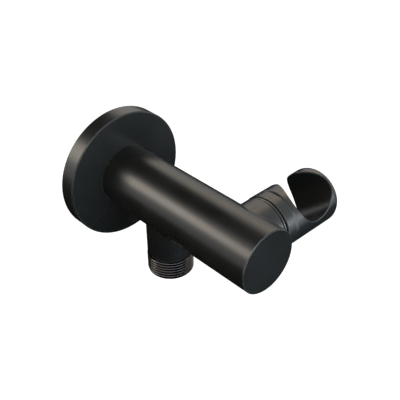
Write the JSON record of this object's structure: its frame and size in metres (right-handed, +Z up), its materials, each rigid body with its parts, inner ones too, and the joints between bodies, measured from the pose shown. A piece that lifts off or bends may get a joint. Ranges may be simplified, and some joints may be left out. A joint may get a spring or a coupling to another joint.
{
  "type": "wall outlet elbow",
  "caption": "Round wall outlet elbow with a rosette, a threaded hose outlet below and a swivelling side cradle for a hand shower.",
  "frame": {"origin": "centre of the rosette's wall face, on the arm's axis, where the wall nipple's thread ends", "axes": "+X out of the wall along the arm, +Y along the cradle's swivel axis, +Z up, the hose leaves along -Z"},
  "size_m": [0.1048, 0.0806, 0.0665],
  "materials": {
    "coated_brass": "satin dark gunmetal coating on brass",
    "bare_brass": "bare turned brass",
    "stainless": "plain stainless steel",
    "seal_rubber": "black moulded rubber",
    "gasket_foam": "black closed-cell foam rubber",
    "gasket_fibre": "pressed fibre",
    "valve_plastic": "natural acetal",
    "bearing_plastic": "black acetal"
  },
  "bodies": {
    "elbow": {"wall_rosette": "coated_brass", "arm_body": "coated_brass", "outlet_nipple": "coated_brass", "side_stub": "coated_brass", "spacer_ring": "coated_brass", "wall_nipple": "bare_brass", "locking_screw": "stainless", "thrust_washer": "stainless", "valve_spring": "stainless", "rosette_o_ring": "seal_rubber", "nipple_o_ring_outer": "seal_rubber", "nipple_o_ring_inner": "seal_rubber", "valve_o_ring": "seal_rubber", "rosette_gasket": "gasket_foam", "outlet_gasket": "gasket_fibre", "valve_body": "valve_plastic", "valve_guide": "valve_plastic", "pivot_bush": "bearing_plastic", "friction_washer_inner": "bearing_plastic", "friction_washer_outer": "bearing_plastic"},
    "cradle": {"cradle_head": "coated_brass", "swivel_collar": "coated_brass", "pivot_bolt": "stainless", "disc_spring_inner": "stainless", "disc_spring_outer": "stainless"},
    "poppet": {"valve_poppet": "valve_plastic", "poppet_seal": "seal_rubber"}
  },
  "joints": [
    {"name": "cradle_swivel", "type": "hinge", "parent": "elbow", "child": "cradle", "pos_m": [0.0764, 0, 0], "axis": [0, 1, 0], "continuous": true},
    {"name": "valve_lift", "type": "slide", "parent": "elbow", "child": "poppet", "axis": [0, 0, -1], "range_m": [0, 0.003], "stiffness_N_per_m": 100, "springref_m": -0.003, "deforming": ["valve_spring"]}
  ]
}
